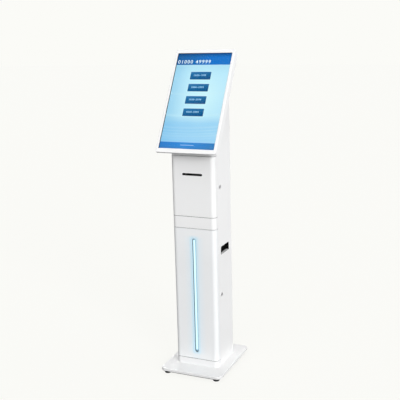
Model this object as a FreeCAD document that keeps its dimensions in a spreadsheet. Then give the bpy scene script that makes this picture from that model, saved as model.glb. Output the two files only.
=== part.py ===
# Floor-standing touch-screen ticket kiosk, white sheet steel.
# Millimetres. +Z up, front towards -Y, origin on the floor under the middle of the base.
import FreeCAD, Part
import math
import os

import Sketcher
from FreeCAD import Placement, Rotation, Vector

doc = FreeCAD.newDocument("ticket_kiosk")
sheet = doc.addObject("Spreadsheet::Sheet", "Params")

DIMS = [
    # sheet steel and column
    ("skin", 1.5, "sheet thickness of column, doors and display cover"),
    ("col_w", 215.0, "column width"),
    ("col_d", 202.0, "column depth"),
    ("col_rad", 20.0, "radius of the two front corners"),
    ("seam_y", -63.5, "plane where the front pans meet the side panels"),
    ("door_gap", 1.0, "air between a door pan and the side panels"),
    ("floor_z", 28.0, "top of the base, bottom of the column"),
    ("plinth_top", 59.1, ""),
    ("ldoor_lo", 61.1, ""),
    ("ldoor_hi", 706.0, ""),
    ("band_lo", 708.0, ""),
    ("band_hi", 762.4, ""),
    ("udoor_lo", 764.4, ""),
    ("udoor_hi", 1045.5, ""),
    ("neck_lo", 1047.5, ""),
    ("neck_hi", 1200.0, "height before the slanted cut"),
    ("lip_front", 14.0, "width of the side panel's front return"),
    ("lip_back", 22.5, "width of the side panel's back return"),
    ("back_rad", 3.0, "bend radius of the back corners"),
    ("side_hi", 1480.0, "height before the slanted cut"),
    # base
    ("base_w", 309.6, "base width"),
    ("base_d", 385.2, "base depth"),
    ("base_rad", 26.0, "base corner radius"),
    ("rim", 12.0, "height of the folded base cover"),
    ("base_skin", 2.0, "thickness of the base cover"),
    ("edge_rad", 2.0, "bend radius of the base cover's top edge"),
    ("foot_rise", 16.0, "clear height under the base cover"),
    ("ballast_t", 9.0, "ballast plate thickness"),
    ("foot_x", 125.5, ""),
    ("foot_y", 168.0, ""),
    ("pad_rad", 15.0, "foot pad radius"),
    ("stud_rad", 3.95, "foot stud radius"),
    ("tap_rad", 4.0, "tapped hole for the foot stud and column bolts"),
    ("bolt_x", 82.0, ""),
    ("bolt_ya", -35.0, ""),
    ("bolt_yb", 70.0, ""),
    # display
    ("tilt", 30.9, "display leans back from vertical by this angle"),
    ("disp_y", -164.8, "middle of the picture's bottom edge"),
    ("disp_z", 1088.8, ""),
    ("act_w", 268.1, "picture width of a 21.5 inch panel in portrait"),
    ("act_l", 476.0, "picture height"),
    ("side_b", 12.75, "frame width at the sides"),
    ("top_b", 18.8, "frame width at the top"),
    ("bot_b", 20.2, "frame width at the bottom"),
    ("disp_t", 38.0, "display thickness"),
    ("low_edge", 10.0, "thickness of the display's lower edge, before its back slopes away"),
    ("low_slope", 19.6, "how far the back slopes up from the lower edge"),
    ("disp_rad", 9.0, "display corner radius"),
    ("frame_t", 3.0, "front frame thickness"),
    ("reveal", 1.2, "black border left in view beside the picture"),
    ("reveal_end", 0.3, "black border left in view above and below the picture"),
    ("glass_t", 3.0, ""),
    ("lcd_t", 12.0, ""),
    ("plate_t", 3.0, "display mounting plate"),
    # ticket slot
    ("slot_z", 961.2, ""),
    ("slot_w", 98.6, ""),
    ("slot_t", 10.4, ""),
    # light bar
    ("led_lo", 94.0, ""),
    ("led_hi", 659.0, ""),
    ("led_w", 18.0, ""),
    # locks
    ("lock_y", -38.0, ""),
    ("ulock_z", 899.4, ""),
    ("llock_z", 381.0, ""),
    ("barrel_rad", 8.0, ""),
    ("plug_rad", 5.0, ""),
    # hinges
    ("pin_x", -110.7, "hinge line"),
    ("pin_y", -64.0, ""),
    ("knuckle_rad", 3.2, ""),
    ("pin_rad", 1.5, ""),
    # hand grips in the side panels
    ("grip_ya", -36.5, ""),
    ("grip_yb", 61.5, ""),
    ("grip_lo", 574.0, ""),
    ("grip_hi", 611.5, ""),
    ("grip_deep", 24.0, ""),
    # printer
    ("shelf_z", 770.0, ""),
    ("platen_y", -72.0, ""),
    ("platen_rad", 7.0, ""),
    ("platen_z", 952.0, "paper leaves level with the middle of the slot"),
    ("pin_gear", 0.8, "gear module"),
    ("roll_y", 30.0, ""),
    ("roll_z", 844.0, ""),
    ("roll_rad", 56.0, ""),
    ("roll_w", 80.0, "paper width"),
    ("fan_z", 640.0, ""),
    ("inlet_x", -40.0, ""),
    ("inlet_z", 115.0, ""),
]
VAL = {}
for row, (alias, value, note) in enumerate(DIMS, start=1):
    sheet.set("A%d" % row, alias)
    sheet.set("B%d" % row, repr(float(value)))
    sheet.setAlias("B%d" % row, alias)
    if note:
        sheet.set("C%d" % row, note)
    VAL[alias] = float(value)
doc.recompute()


class Q:
    """A length with its number and the expression that gives it."""

    def __init__(self, v, e=None):
        self.v = float(v)
        self.e = e

    def txt(self):
        return self.e if self.e else "(%r)" % self.v

    def _op(self, other, sign, fn, flip=False):
        o = as_q(other)
        a, b = (o, self) if flip else (self, o)
        e = None
        if a.e or b.e:
            e = "(%s %s %s)" % (a.txt(), sign, b.txt())
        return Q(fn(a.v, b.v), e)

    def __add__(self, o):
        return self._op(o, "+", lambda a, b: a + b)

    def __radd__(self, o):
        return self._op(o, "+", lambda a, b: a + b, True)

    def __sub__(self, o):
        return self._op(o, "-", lambda a, b: a - b)

    def __rsub__(self, o):
        return self._op(o, "-", lambda a, b: a - b, True)

    def __mul__(self, o):
        return self._op(o, "*", lambda a, b: a * b)

    def __rmul__(self, o):
        return self._op(o, "*", lambda a, b: a * b, True)

    def __truediv__(self, o):
        return self._op(o, "/", lambda a, b: a / b)

    def __neg__(self):
        return Q(-self.v, "(-1 * %s)" % self.e if self.e else None)


def as_q(x):
    return x if isinstance(x, Q) else Q(x)


def P(alias):
    return Q(VAL[alias], "Params." + alias)


def qcos(a):
    return Q(math.cos(math.radians(a.v)), "cos(%s)" % a.txt())


def qsin(a):
    return Q(math.sin(math.radians(a.v)), "sin(%s)" % a.txt())


BODIES = []


def update(*objs):
    for o in objs:
        o.recompute()


def body(name):
    b = doc.addObject("PartDesign::Body", name)
    b.Label = name
    b.AllowCompound = True
    BODIES.append(b)
    return b


def role(b, name):
    return [o for o in b.Origin.OriginFeatures if o.Role == name][0]


def place(b, x=0, y=0, z=0, axis=None, angle=0):
    x, y, z, angle = as_q(x), as_q(y), as_q(z), as_q(angle)
    rot = Rotation(Vector(*axis), angle.v) if axis else Rotation()
    b.Placement = Placement(Vector(x.v, y.v, z.v), rot)
    for k, q in (("x", x), ("y", y), ("z", z)):
        if q.e:
            b.setExpression(".Placement.Base." + k, q.e)
    if axis and angle.e:
        b.setExpression(".Placement.Rotation.Angle", angle.e)


# ---- sketch outlines, each fully constrained and bound to the sheet
def con(sk, kind, args, q):
    i = sk.addConstraint(Sketcher.Constraint(kind, *args, q.v))
    if q.e:
        sk.setExpression("Constraints[%d]" % i, q.e)


def at_point(sk, g, pos, x, y):
    con(sk, "DistanceX", (-1, 1, g, pos), as_q(x))
    con(sk, "DistanceY", (-1, 1, g, pos), as_q(y))


def poly(pts):
    def draw(sk):
        n = len(pts)
        p = [Vector(as_q(x).v, as_q(y).v, 0) for x, y in pts]
        g = [sk.addGeometry(Part.LineSegment(p[i], p[(i + 1) % n])) for i in range(n)]
        for i in range(n):
            sk.addConstraint(Sketcher.Constraint("Coincident", g[i], 2, g[(i + 1) % n], 1))
        for i in range(n):
            at_point(sk, g[i], 1, *pts[i])

    return draw


def rect(x0, y0, x1, y1):
    def draw(sk):
        a, b, c, d = as_q(x0), as_q(y0), as_q(x1), as_q(y1)
        p = [(a, b), (c, b), (c, d), (a, d)]
        v = [Vector(x.v, y.v, 0) for x, y in p]
        g = [sk.addGeometry(Part.LineSegment(v[i], v[(i + 1) % 4])) for i in range(4)]
        for i in range(4):
            sk.addConstraint(Sketcher.Constraint("Coincident", g[i], 2, g[(i + 1) % 4], 1))
        for i, k in enumerate(("Horizontal", "Vertical", "Horizontal", "Vertical")):
            sk.addConstraint(Sketcher.Constraint(k, g[i]))
        at_point(sk, g[0], 1, a, b)
        at_point(sk, g[2], 1, c, d)

    return draw


def rrect(x0, y0, x1, y1, r):
    def draw(sk):
        a, b, c, d, q = as_q(x0), as_q(y0), as_q(x1), as_q(y1), as_q(r)
        X0, Y0, X1, Y1, R = a.v, b.v, c.v, d.v, q.v
        seg = [
            (X0 + R, Y0, X1 - R, Y0),
            (X1, Y0 + R, X1, Y1 - R),
            (X1 - R, Y1, X0 + R, Y1),
            (X0, Y1 - R, X0, Y0 + R),
        ]
        cen = [(X1 - R, Y0 + R, -90), (X1 - R, Y1 - R, 0), (X0 + R, Y1 - R, 90), (X0 + R, Y0 + R, 180)]
        ln = [
            sk.addGeometry(Part.LineSegment(Vector(s[0], s[1], 0), Vector(s[2], s[3], 0)))
            for s in seg
        ]
        ar = []
        for cx, cy, a0 in cen:
            circ = Part.Circle(Vector(cx, cy, 0), Vector(0, 0, 1), R)
            ar.append(
                sk.addGeometry(Part.ArcOfCircle(circ, math.radians(a0), math.radians(a0 + 90)))
            )
        for i in range(4):
            sk.addConstraint(Sketcher.Constraint("Tangent", ln[i], 2, ar[i], 1))
            sk.addConstraint(Sketcher.Constraint("Tangent", ar[i], 2, ln[(i + 1) % 4], 1))
        for i, k in enumerate(("Horizontal", "Vertical", "Horizontal", "Vertical")):
            sk.addConstraint(Sketcher.Constraint(k, ln[i]))
        for i in range(1, 4):
            sk.addConstraint(Sketcher.Constraint("Equal", ar[0], ar[i]))
        con(sk, "Radius", (ar[0],), q)
        con(sk, "DistanceY", (-1, 1, ln[0], 1), b)
        con(sk, "DistanceX", (-1, 1, ln[1], 1), c)
        con(sk, "DistanceY", (-1, 1, ln[2], 1), d)
        con(sk, "DistanceX", (-1, 1, ln[3], 1), a)

    return draw


def circ(cx, cy, r):
    def draw(sk):
        x, y, q = as_q(cx), as_q(cy), as_q(r)
        g = sk.addGeometry(Part.Circle(Vector(x.v, y.v, 0), Vector(0, 0, 1), q.v))
        at_point(sk, g, 3, x, y)
        con(sk, "Radius", (g,), q)

    return draw


def hexa(cx, cy, flats):
    r = as_q(flats) / math.sqrt(3.0)
    pts = []
    for k in range(6):
        a = math.radians(60 * k)
        pts.append((as_q(cx) + r * math.cos(a), as_q(cy) + r * math.sin(a)))
    return poly(pts)


def sketch(b, plane, at, draws):
    at = as_q(at)
    sk = b.newObject("Sketcher::SketchObject", b.Name + "_sketch")
    sk.AttachmentSupport = (role(b, plane + "_Plane"), [""])
    sk.MapMode = "FlatFace"
    off = -at if plane == "XZ" else at
    sk.AttachmentOffset = Placement(Vector(0, 0, off.v), Rotation())
    if off.e:
        sk.setExpression(".AttachmentOffset.Base.z", off.e)
    for d in draws:
        d(sk)
    return sk


def vol(b):
    return b.Shape.Volume if b.Tip and not b.Shape.isNull() else 0.0


def pad(b, plane, at, length, *draws):
    """Adds material from the plane at 'at' towards the plane's plus axis."""
    v0 = vol(b)
    sk = sketch(b, plane, at, draws)
    f = b.newObject("PartDesign::Pad", b.Name + "_pad")
    f.Profile = sk
    f.Reversed = plane == "XZ"
    length = as_q(length)
    f.Length = length.v
    if length.e:
        f.setExpression("Length", length.e)
    update(sk, f, b)
    if not vol(b) > v0:
        raise RuntimeError("pad added nothing: " + b.Label)
    return f


def pocket(b, plane, at, length, *draws):
    """Cuts from the plane at 'at' towards the plane's plus axis."""
    v0 = vol(b)
    sk = sketch(b, plane, at, draws)
    f = b.newObject("PartDesign::Pocket", b.Name + "_pocket")
    f.Profile = sk
    f.Reversed = plane != "XZ"
    length = as_q(length)
    f.Length = length.v
    if length.e:
        f.setExpression("Length", length.e)
    update(sk, f, b)
    if not vol(b) < v0 - 1e-6:
        raise RuntimeError("pocket cut nothing: %s" % b.Label)
    return f


def revolve(b, plane, axis, *draws):
    sk = sketch(b, plane, 0, draws)
    f = b.newObject("PartDesign::Revolution", b.Name + "_rev")
    f.Profile = sk
    f.ReferenceAxis = (sk, [axis])
    f.Angle = 360.0
    update(sk, f, b)
    return f


def near(a, b):
    return abs(a - b) < 1e-3


def edges(b, test):
    out = []
    for i, e in enumerate(b.Tip.Shape.Edges, start=1):
        if test(e, e.BoundBox):
            out.append("Edge%d" % i)
    return out


def fillet(b, r, test, kind="Fillet"):
    names = edges(b, test)
    if not names:
        raise RuntimeError("no edge to round: " + b.Label)
    tip = b.Tip
    f = b.newObject("PartDesign::" + kind, b.Name + "_" + kind.lower())
    f.Base = (tip, names)
    r = as_q(r)
    key = "Radius" if kind == "Fillet" else "Size"
    setattr(f, key, r.v)
    if r.e:
        f.setExpression(key, r.e)
    update(f, b)
    return f


def chamfer(b, size, test):
    return fillet(b, size, test, "Chamfer")


def row_of(b, feat, axis, step, count):
    """Repeats a feature along an axis of the body."""
    v0 = vol(b)
    f = b.newObject("PartDesign::LinearPattern", b.Name + "_row")
    f.Originals = [feat]
    f.Direction = (role(b, axis + "_Axis"), [""])
    f.Length = step * (count - 1)
    f.Occurrences = count
    b.Tip = f
    update(f, b)
    if near(vol(b), v0):
        raise RuntimeError("pattern changed nothing: " + b.Label)
    return f


def upright(x, y):
    return lambda e, bb: (
        near(bb.XMin, x) and near(bb.XMax, x) and near(bb.YMin, y) and near(bb.YMax, y)
        and bb.ZLength > 0.5
    )


def shell(b, t, test):
    """Hollows the block inwards, leaving open the faces that pass the test."""
    names = [
        "Face%d" % i for i, f in enumerate(b.Tip.Shape.Faces, start=1) if test(f, f.BoundBox)
    ]
    tip = b.Tip
    v0 = vol(b)
    f = b.newObject("PartDesign::Thickness", b.Name + "_wall")
    f.Base = (tip, names)
    t = as_q(t)
    f.Value = t.v
    if t.e:
        f.setExpression("Value", t.e)
    f.Reversed = True
    f.Mode = 0
    f.Join = 0
    update(f, b)
    if not vol(b) < v0:
        raise RuntimeError("shell did not hollow: " + b.Label)
    return f


skin = P("skin")
W = P("col_w")
HW = W / 2
YF = -P("col_d") / 2
YB = P("col_d") / 2
seam = P("seam_y")
T0 = P("foot_rise")
FZ = P("floor_z")

# The back of the display lies in a slanted plane; z on it for a given y.
cosT, sinT = qcos(P("tilt")), qsin(P("tilt"))
bp_y = P("disp_y") + P("disp_t") * cosT
bp_z = P("disp_z") - P("disp_t") * sinT


def slant_z(y):
    return bp_z + (as_q(y) - bp_y) * cosT / sinT


def cut_slant(b, x0, width, ya, yb):
    """Removes what stands above the slanted plane between y = ya and y = yb."""
    pocket(
        b, "YZ", x0, width,
        poly([(ya, slant_z(ya)), (yb, slant_z(yb)), (yb, 1700.0), (ya, 1700.0)]),
    )


# ================= base =================
BW, BD = P("base_w"), P("base_d")
b = body("base_cover")
pad(b, "XY", T0, P("rim"), rrect(-BW / 2, -BD / 2, BW / 2, BD / 2, P("base_rad")))
fillet(b, P("edge_rad"), lambda e, bb: near(bb.ZMin, 28.0) and near(bb.ZMax, 28.0))
bs = P("base_skin")
pocket(
    b, "XY", T0, P("rim") - bs,
    rrect(-BW / 2 + bs, -BD / 2 + bs, BW / 2 - bs, BD / 2 - bs, P("base_rad") - bs),
)
bolts = [(sx * P("bolt_x"), P(k)) for sx in (-1, 1) for k in ("bolt_ya", "bolt_yb")]
feet = [(sx * P("foot_x"), sy * P("foot_y")) for sx in (-1, 1) for sy in (-1, 1)]
pocket(b, "XY", FZ - bs, bs, *[circ(x, y, P("tap_rad") + 0.25) for x, y in bolts])

b = body("ballast_plate")
in_x, in_y = BW / 2 - bs - 1.0, BD / 2 - bs - 1.0
pad(b, "XY", FZ - bs - P("ballast_t"), P("ballast_t"), rrect(-in_x, -in_y, in_x, in_y, P("base_rad") - bs - 1.0))
pocket(
    b, "XY", FZ - bs - P("ballast_t"), P("ballast_t"),
    *[circ(x, y, P("tap_rad")) for x, y in bolts + feet],
)

for name, (x, y) in zip(
    ("foot_front_left", "foot_rear_left", "foot_front_right", "foot_rear_right"), feet
):
    b = body(name)
    R = P("pad_rad")
    revolve(
        b, "XZ", "V_Axis",
        poly([(0, 0), (R - 1.5, 0), (R, 1.5), (R, 5.0), (R - 3.5, 7.2), (6.5, 7.6), (6.5, 15.0),
              (P("stud_rad"), 15.0), (P("stud_rad"), 25.5), (0, 25.5)]),
    )
    place(b, x, y, 0)

# ================= column =================
gy0, gy1, gz0, gz1 = P("grip_ya"), P("grip_yb"), P("grip_lo"), P("grip_hi")
for name, s in (("side_panel_left", -1), ("side_panel_right", 1)):
    b = body(name)
    o, i = HW * s, (HW - skin) * s
    fl, bl = (HW - P("lip_front")) * s, (HW - P("lip_back")) * s
    pts = [(o, seam), (o, YB), (bl, YB), (bl, YB - skin), (i, YB - skin), (i, seam + skin),
           (fl, seam + skin), (fl, seam)]
    pad(b, "XY", FZ, P("side_hi") - FZ, poly(pts))
    fillet(b, P("back_rad"), upright(s * 107.5, 101.0))
    x0 = -(HW + 1) if s < 0 else HW - 30
    cut_slant(b, x0, 31.0, -70.0, 110.0)
    # notch of the front return for the display mounting plate
    x0w = -HW + skin if s < 0 else HW - P("lip_front") - 1.0
    pocket(
        b, "YZ", x0w, P("lip_front") - skin + 1.0,
        poly([(-70.0, slant_z(-70.0) - 6.5), (-60.0, slant_z(-60.0) - 6.5), (-60.0, slant_z(-60.0) + 20), (-70.0, slant_z(-70.0) + 20)]),
    )
    wall0 = -HW - 0.5 if s < 0 else HW - skin - 0.5
    pocket(b, "YZ", wall0, skin + 1.0, rrect(gy0, gz0, gy1, gz1, 6.0))
    if s > 0:
        pocket(b, "YZ", wall0, skin + 1.0, circ(P("lock_y"), P("ulock_z"), P("barrel_rad")),
               circ(P("lock_y"), P("llock_z"), P("barrel_rad")))
    screw_x = (HW - 15.5) * s
    screw_z = [60.0, 390.0, 720.0, 1050.0, 1380.0]
    pocket(b, "XZ", YB - skin - 0.5, skin + 1.0, *[circ(screw_x, z, 2.05) for z in screw_z])

b = body("rear_panel")
ry = YB - 2 * skin
pad(b, "XZ", ry, skin, rect(-96.5, FZ + 4, 96.5, 1451.0))
for k in range(7):
    dz = -30.0 + 10.0 * k
    half = math.sqrt(max(36.0 ** 2 - dz * dz, 20.0 ** 2)) - 2.0
    pocket(b, "XZ", ry, skin, rrect(-half, P("fan_z") + dz - 2.5, half, P("fan_z") + dz + 2.5, 2.45))
for z, n in ((1180.0, 8), (190.0, 5)):
    f = pocket(b, "XZ", ry, skin, rrect(-74.0, z, -10.0, z + 5.0, 2.45), rrect(10.0, z, 74.0, z + 5.0, 2.45))
    row_of(b, f, "Z", 12.0, n)
pocket(b, "XZ", ry, skin, rect(P("inlet_x") - 24.0, P("inlet_z") - 13.0, P("inlet_x") + 24.0, P("inlet_z") + 13.0))
pocket(b, "XZ", ry, skin, *[circ(s * (HW - 15.5), z, 2.05) for s in (-1, 1) for z in screw_z])

b = body("rear_panel_screws")
sc = [(s * (HW - 15.5), z) for s in (-1, 1) for z in screw_z]
pad(b, "XZ", YB, 2.2, *[circ(x, z, 3.8) for x, z in sc])
pad(b, "XZ", YB - 9.0, 9.0, *[circ(x, z, 2.0) for x, z in sc])
pocket(b, "XZ", YB + 0.8, 2.0, *[hexa(x, z, 2.5) for x, z in sc])

b = body("column_feet")
for s in (-1, 1):
    xa, xb = (-HW + skin, Q(-60.0)) if s < 0 else (Q(60.0), HW - skin)
    pad(b, "XY", FZ, 3.0, rect(xa, -58.0, xb, 92.0))
    xc, xd = (-HW + skin, -HW + skin + 3.0) if s < 0 else (HW - skin - 3.0, HW - skin)
    pad(b, "XY", FZ, 34.0, rect(xc, -40.0, xd, 92.0))
pocket(b, "XY", FZ, 3.0, *[circ(x, y, P("tap_rad") + 0.25) for x, y in bolts])

b = body("column_bolts")
pad(b, "XY", FZ + 3.0, 5.3, *[hexa(x, y, 13.0) for x, y in bolts])
pad(b, "XY", FZ - 12.0, 15.0, *[circ(x, y, P("tap_rad")) for x, y in bolts])

b = body("cross_rails")
for za, zb in ((33.0, 55.0), (712.0, 758.0), (1051.0, 1075.0)):
    y0 = seam + skin
    pad(
        b, "YZ", -HW + skin, W - 2 * skin,
        poly([(y0, za), (y0 + 20.0, za), (y0 + 20.0, za + skin), (y0 + skin, za + skin),
              (y0 + skin, zb - skin), (y0 + 20.0, zb - skin), (y0 + 20.0, zb), (y0, zb)]),
    )


def front_pan(name, z0, z1, back, slanted=False):
    """A folded front pan whose round corners run back along the column's sides."""
    p = body(name)
    pad(p, "XY", z0, z1 - z0, rect(-HW, YF, HW, back))
    if slanted:
        cut_slant(p, -HW - 1.0, W + 2.0, -110.0, -50.0)
    fillet(p, P("col_rad"), lambda e, bb: near(abs(bb.XMin), 107.5) and near(bb.XMin, bb.XMax)
           and near(bb.YMin, -101.0) and near(bb.YMax, -101.0))
    shell(
        p, skin,
        lambda f, bb: (near(bb.YMin, back.v) and near(bb.YMax, back.v))
        or (slanted and bb.ZMin > 1110.0 and bb.YLength > 5 and bb.XLength > 150),
    )
    return p


front_pan("plinth_strip", FZ, P("plinth_top"), seam)
front_pan("mid_band", P("band_lo"), P("band_hi"), seam)
front_pan("neck_fascia", P("neck_lo"), P("neck_hi"), seam, slanted=True)


def catch(p, lock):
    """Strip with a turned lip that the lock's cam holds."""
    za, zb = lock + 9.6, lock + 21.6
    pad(p, "XY", za, zb - za, poly([
        (77.5, YF + skin), (90.0, YF + skin), (90.0, YF + 2 * skin), (79.0, YF + 2 * skin),
        (79.0, -31.5), (86.0, -31.5), (86.0, -30.0), (77.5, -30.0)]))


b = front_pan("upper_door", P("udoor_lo"), P("udoor_hi"), seam - P("door_gap"))
catch(b, P("ulock_z"))
sw, st, sz = P("slot_w") / 2, P("slot_t") / 2, P("slot_z")
pocket(b, "XZ", YF - 0.5, skin + 1.0, rrect(-sw, sz - st, sw, sz + st, st - 0.02))

b = body("ticket_bezel")
pad(b, "XZ", YF - 0.6, skin + 0.6, rrect(-sw, sz - st, sw, sz + st, st - 0.02))
pad(b, "XZ", YF + skin, 2.5, rrect(-sw - 6.0, sz - st - 6.0, sw + 6.0, sz + st + 6.0, 5.0))
leaves = P("platen_z") + P("platen_rad")
pocket(b, "XZ", YF - 1.0, 7.0, rrect(-44.8, leaves - 2.2, 44.8, sz + st - 2.0, 1.0))
chamfer(b, 0.4, lambda e, bb: near(bb.YMin, -101.6) and near(bb.YMax, -101.6) and bb.XLength > 80
        and abs((bb.ZMin + bb.ZMax) / 2 - 960.6) < 4.0)

b = front_pan("lower_door", P("ldoor_lo"), P("ldoor_hi"), seam - P("door_gap"))
catch(b, P("llock_z"))
lw = P("led_w") / 2
pocket(b, "XZ", YF - 0.5, skin + 1.0, rrect(-lw, P("led_lo"), lw, P("led_hi"), lw - 0.02))

b = body("led_channel")
y0 = YF + skin
pad(b, "XZ", y0, 12.0, rect(-lw - 7.0, P("led_lo") - 8.0, lw + 7.0, P("led_hi") + 8.0))
pocket(b, "XZ", y0, 10.5, rrect(-lw, P("led_lo"), lw, P("led_hi"), lw - 0.02))
for s in (-1, 1):
    xa, xb = (-lw - 7.0, -lw - 1.5) if s < 0 else (lw + 1.5, lw + 7.0)
    pocket(b, "XZ", y0 + skin, 12.0, rect(xa, P("led_lo") - 8.0, xb, P("led_hi") + 8.0))

b = body("led_board")
pad(b, "XZ", y0 + 9.0, 1.5, rect(-4.5, P("led_lo") + 5.0, 4.5, P("led_hi") - 5.0))
f = pad(b, "XZ", y0 + 7.6, 1.4, rect(-2.5, P("led_lo") + 14.0, 2.5, P("led_lo") + 19.0))
row_of(b, f, "Z", 33.4, 17)

b = body("led_diffuser")
dw = lw - 2.1
pad(b, "XZ", y0 + 0.7, 6.9, rrect(-dw, P("led_lo") + 2.1, dw, P("led_hi") - 2.1, dw - 0.05))
fillet(b, 2.4, lambda e, bb: near(bb.YMin, bb.YMax) and near(bb.YMin, -98.8))

# ================= hinges =================
px, py = P("pin_x"), P("pin_y")
kr = P("knuckle_rad")
up_z = [830.0, 980.0]
lo_z = [150.0, 617.0]
lx = -HW


def door_leaves(name, zs):
    p = body(name)
    for z in zs:
        pad(p, "XY", z - 30.0, 60.0, rect(lx - 1.5, -80.0, lx, -67.6))
        pad(p, "XY", z - 10.0, 20.0, rect(lx - 1.5, -68.0, lx, py))
        pad(p, "XY", z - 10.0, 20.0, circ(px, py, kr))
        pocket(p, "XY", z - 11.0, 22.0, circ(px, py, P("pin_rad") + 0.05))
    return p


door_leaves("upper_door_leaves", up_z)
door_leaves("lower_door_leaves", lo_z)
b = body("hinge_frame_leaves")
for z in up_z + lo_z:
    pad(b, "XY", z - 30.0, 60.0, rect(lx - 1.5, -60.4, lx, -47.0))
    for za in (z - 30.0, z + 10.2):
        pad(b, "XY", za, 19.8, rect(lx - 1.5, py, lx, -60.0))
        pad(b, "XY", za, 19.8, circ(px, py, kr))
        pocket(b, "XY", za - 0.1, 20.0, circ(px, py, P("pin_rad")))
b = body("hinge_pins")
pad(b, "XY", up_z[0] - 31.5, 63.0, circ(px, py, P("pin_rad")))
for z in [up_z[1]] + lo_z:
    pad(b, "XY", z - 31.5, 63.0, circ(px, py, P("pin_rad")))
for z in up_z + lo_z:
    pad(b, "XY", z + 30.0, 2.0, circ(px, py, 2.4))

# ================= locks =================
br, pr = P("barrel_rad"), P("plug_rad")
b = body("lock_barrels")
for lz in (P("ulock_z"), P("llock_z")):
    pad(b, "YZ", 85.2, HW - 85.2, circ(P("lock_y"), lz, br))
    pad(b, "YZ", HW, 2.2, circ(P("lock_y"), lz, 9.6))
    pocket(b, "YZ", 85.0, 26.0, circ(P("lock_y"), lz, pr + 0.05))
chamfer(b, 0.8, lambda e, bb: near(bb.XMin, 109.7) and near(bb.XMax, 109.7) and bb.YLength > 15)
b = body("lock_nuts")
for lz in (P("ulock_z"), P("llock_z")):
    pad(b, "YZ", HW - skin - 4.5, 4.5, hexa(P("lock_y"), lz, 22.0))
    pocket(b, "YZ", HW - skin - 4.5, 4.5, circ(P("lock_y"), lz, br))
for name, lz in (("upper_lock", P("ulock_z")), ("lower_lock", P("llock_z"))):
    b = body(name + "_plug")
    pad(b, "YZ", 85.0, 24.9, circ(0, 0, pr))
    pad(b, "YZ", 80.5, 4.5, circ(0, 0, 3.0))
    pocket(b, "YZ", 105.0, 6.0, rect(-0.7, -3.4, 0.7, 3.4))
    place(b, 0, P("lock_y"), lz)
    b = body(name + "_cam")
    pad(b, "YZ", 82.0, 2.6, circ(0, 0, 7.5))
    pad(b, "YZ", 82.0, 2.6, rrect(-21.5, -5.0, 3.0, 5.0, 2.5))
    pocket(b, "YZ", 82.0, 2.6, circ(0, 0, 3.0))
    place(b, 0, P("lock_y"), lz)

# ================= hand grips =================
for name, s in (("grip_cup_left", -1), ("grip_cup_right", 1)):
    b = body(name)

    def span(xa, xb):
        """start and length along X of a slab between two depths from the outer face"""
        lo, hi = (HW - xb, HW - xa) if s > 0 else (-HW + xa, -HW + xb)
        return lo, hi - lo

    deep = P("grip_deep")
    a0, n0 = span(skin, skin + 1.5)
    pad(b, "YZ", a0, n0, rrect(gy0 - 7.0, gz0 - 7.0, gy1 + 7.0, gz1 + 7.0, 8.0))
    a0, n0 = span(skin, deep)
    pad(b, "YZ", a0, n0, rrect(gy0, gz0, gy1, gz1, 6.0))
    a0, n0 = span(-0.5, skin + 0.2)
    pad(b, "YZ", a0, n0, rrect(gy0, gz0, gy1, gz1, 6.0))
    a0, n0 = span(-1.0, deep - 2.0)
    pocket(b, "YZ", a0, n0, rrect(gy0 + 2.0, gz0 + 2.0, gy1 - 2.0, gz1 - 2.0, 4.0))

# ================= display =================
A = 90.0 - P("tilt")


def tilted(p):
    place(p, 0, P("disp_y"), P("disp_z"), (1, 0, 0), A)


ox = P("act_w") / 2 + P("side_b")
oy0, oy1 = -P("bot_b"), P("act_l") + P("top_b")
D = P("disp_t")
ft = P("frame_t")
b = body("display_back_cover")
pad(b, "XY", -D, D - ft, rrect(-ox, oy0, ox, oy1, P("disp_rad")))
fillet(b, 3.0, lambda e, bb: near(bb.ZMin, -38.0) and near(bb.ZMax, -38.0))
# the lower edge slopes back behind its first 10 mm
cut = P("low_slope")
pocket(b, "YZ", -ox - 1.0, 2 * ox + 2.0, poly([
    (oy0 - 1.0, -P("low_edge")), (oy0, -P("low_edge")), (oy0 + cut, -D), (oy0 + cut, -D - 1.0), (oy0 - 1.0, -D - 1.0)]))
shell(b, skin, lambda f, bb: near(bb.ZMin, -3.0) and near(bb.ZMax, -3.0))
vesa = [(sx * 50.0, 255.0 + sy * 50.0) for sx in (-1, 1) for sy in (-1, 1)]
pocket(b, "XY", -D - 0.5, skin + 1.0, *[circ(x, y, 3.1) for x, y in vesa])
pocket(b, "XY", -D - 0.5, skin + 1.0, rrect(-30.0, 120.0, 30.0, 160.0, 6.0))
tilted(b)

b = body("display_bezel")
rv = P("reveal")
ax = P("act_w") / 2 + rv
pad(b, "XY", -ft, ft, rrect(-ox, oy0, ox, oy1, P("disp_rad")))
re = P("reveal_end")
pocket(b, "XY", -ft, ft, rrect(-ax, -re, ax, P("act_l") + re, 1.5))
fillet(b, 2.2, lambda e, bb: near(bb.ZMin, 0) and near(bb.ZMax, 0) and (abs(bb.XMin) > 140 or abs(bb.XMax) > 140 or bb.YMin > 485 or bb.YMax < -10))
tilted(b)

b = body("touch_glass")
gt = P("glass_t")
pad(b, "XY", -ft - gt, gt, rrect(-ax - 4.0, -9.0, ax + 4.0, P("act_l") + 9.0, 3.0))
tilted(b)

b = body("lcd_panel")
lt = P("lcd_t")
pad(b, "XY", -ft - gt - lt, lt, rrect(-ax - 3.0, -8.0, ax + 3.0, P("act_l") + 8.0, 2.0))
tilted(b)

b = body("lcd_rails")
ltop = -ft - gt - lt
for s in (-1, 1):
    x0, x1 = (-128.0, -100.0) if s < 0 else (100.0, 128.0)
    pad(b, "XZ", 4.0, P("act_l") - 8.0, poly([
        (x0, -D + skin), (x0 + 1.5, -D + skin), (x0 + 1.5, ltop - 1.5), (x1 - 1.5, ltop - 1.5),
        (x1 - 1.5, -D + skin), (x1, -D + skin), (x1, ltop), (x0, ltop)]))
tilted(b)

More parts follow.
